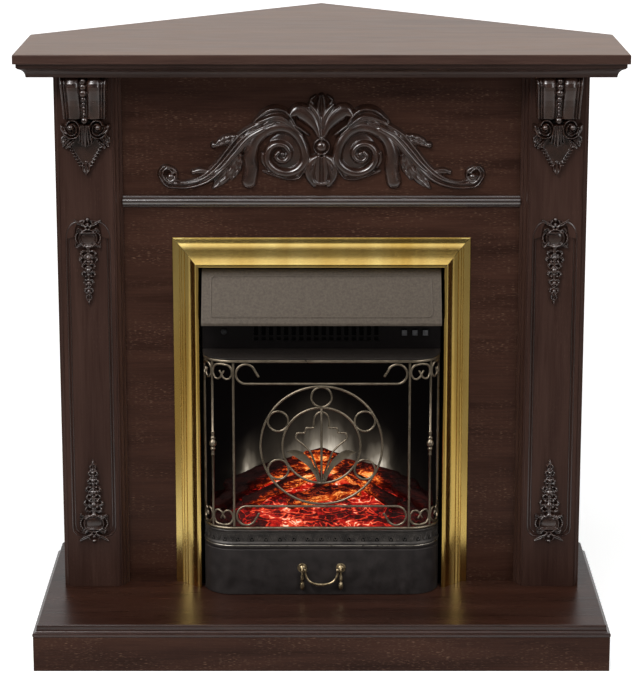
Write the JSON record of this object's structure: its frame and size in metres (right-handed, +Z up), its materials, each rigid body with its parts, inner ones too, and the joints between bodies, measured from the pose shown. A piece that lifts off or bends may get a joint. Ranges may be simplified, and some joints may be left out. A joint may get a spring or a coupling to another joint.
{
  "type": "corner fireplace",
  "caption": "Corner electric fireplace: five-sided wood hearth and mantel with pilasters and carvings, brass-trimmed fire with bowed scroll grille, log bed and bail handle.",
  "frame": {"origin": "on the floor, under the middle of the bounding box", "axes": "+Z up, the front faces -Y, +X to the right of someone facing the fire's back wall; both room walls meet on +Y"},
  "size_m": [1.02, 0.931, 1.022],
  "materials": {
    "wenge_board": "dark wenge veneer, fine open pores, satin",
    "carved_wood": "carved dark wood, glossy lacquer",
    "brass": "polished brass",
    "pewter_iron": "wrought iron in antique pewter",
    "cast_dark": "dark cast-iron effect",
    "hood_grey": "warm grey metal, satin",
    "black_sheet": "black sheet steel",
    "antique_brass": "antique brass",
    "flame_screen": "milky diffusing screen, lit grey-white from behind",
    "embers": "translucent ember shell, glowing red and orange",
    "logs": "moulded logs, charred red-brown",
    "galvanised": "galvanised sheet",
    "black_plastic": "black plastic",
    "lamps": "lamp bulbs on a bracket"
  },
  "bodies": {
    "surround": {"hearth_top": "wenge_board", "plinth_front": "wenge_board", "plinth_left": "wenge_board", "plinth_right": "wenge_board", "back_rail_left": "wenge_board", "back_rail_right": "wenge_board", "pilaster_left": "wenge_board", "pilaster_right": "wenge_board", "front_panel": "wenge_board", "frieze_panel": "wenge_board", "frieze_strip": "wenge_board", "side_panel_left": "wenge_board", "side_panel_right": "wenge_board", "mantel_slab": "wenge_board", "mantel_moulding_front": "wenge_board", "mantel_moulding_left": "wenge_board", "mantel_moulding_right": "wenge_board", "mantel_batten_left": "wenge_board", "mantel_batten_right": "wenge_board", "corbel_left": "carved_wood", "corbel_right": "carved_wood", "frieze_ornament": "carved_wood", "applique_upper_left": "carved_wood", "applique_upper_right": "carved_wood", "applique_lower_left": "carved_wood", "applique_lower_right": "carved_wood", "trim_left": "brass", "trim_right": "brass", "trim_top": "brass", "grille_rail_bottom": "pewter_iron", "grille_rail_top": "pewter_iron", "grille_corner_left": "pewter_iron", "grille_corner_right": "pewter_iron", "rosette": "pewter_iron", "scroll_bar_upper": "pewter_iron", "scroll_bar_lower": "pewter_iron", "fender_casing": "cast_dark", "gallery_band": "cast_dark", "hood": "hood_grey", "control_fascia": "black_sheet", "canopy_plate": "black_sheet", "handle_plate_left": "antique_brass", "handle_plate_right": "antique_brass", "flame_screen": "flame_screen", "ember_bed": "embers", "log_left": "logs", "log_right": "logs", "log_front": "logs", "housing": "galvanised", "fan_heater": "galvanised", "receiver_window": "black_plastic", "rotor_motor": "black_plastic", "power_inlet": "black_plastic", "lamp_bar": "lamps"},
    "switch_1": {"rocker_switch_1": "black_plastic"},
    "switch_2": {"rocker_switch_2": "black_plastic"},
    "switch_3": {"rocker_switch_3": "black_plastic"},
    "bail": {"handle_bail": "antique_brass"},
    "rotor": {"flame_rotor": "galvanised"},
    "fan": {"fan_wheel": "black_plastic"}
  },
  "joints": [
    {"name": "switch_1_rock", "type": "hinge", "parent": "surround", "child": "switch_1", "pos_m": [0.142, -0.2594, 0.5384], "axis": [-1, 0, 0], "range_deg": [0, 14]},
    {"name": "switch_2_rock", "type": "hinge", "parent": "surround", "child": "switch_2", "pos_m": [0.16, -0.2594, 0.5384], "axis": [-1, 0, 0], "range_deg": [0, 14]},
    {"name": "switch_3_rock", "type": "hinge", "parent": "surround", "child": "switch_3", "pos_m": [0.178, -0.2594, 0.5384], "axis": [-1, 0, 0], "range_deg": [0, 14]},
    {"name": "bail_swing", "type": "hinge", "parent": "surround", "child": "bail", "pos_m": [0, -0.3165, 0.1283], "axis": [-1, 0, 0], "range_deg": [0, 100]},
    {"name": "rotor_spin", "type": "hinge", "parent": "surround", "child": "rotor", "pos_m": [0, -0.1315, 0.2203], "axis": [1, 0, 0], "continuous": true},
    {"name": "fan_spin", "type": "hinge", "parent": "surround", "child": "fan", "pos_m": [0, -0.1845, 0.5874], "axis": [1, 0, 0], "continuous": true}
  ]
}
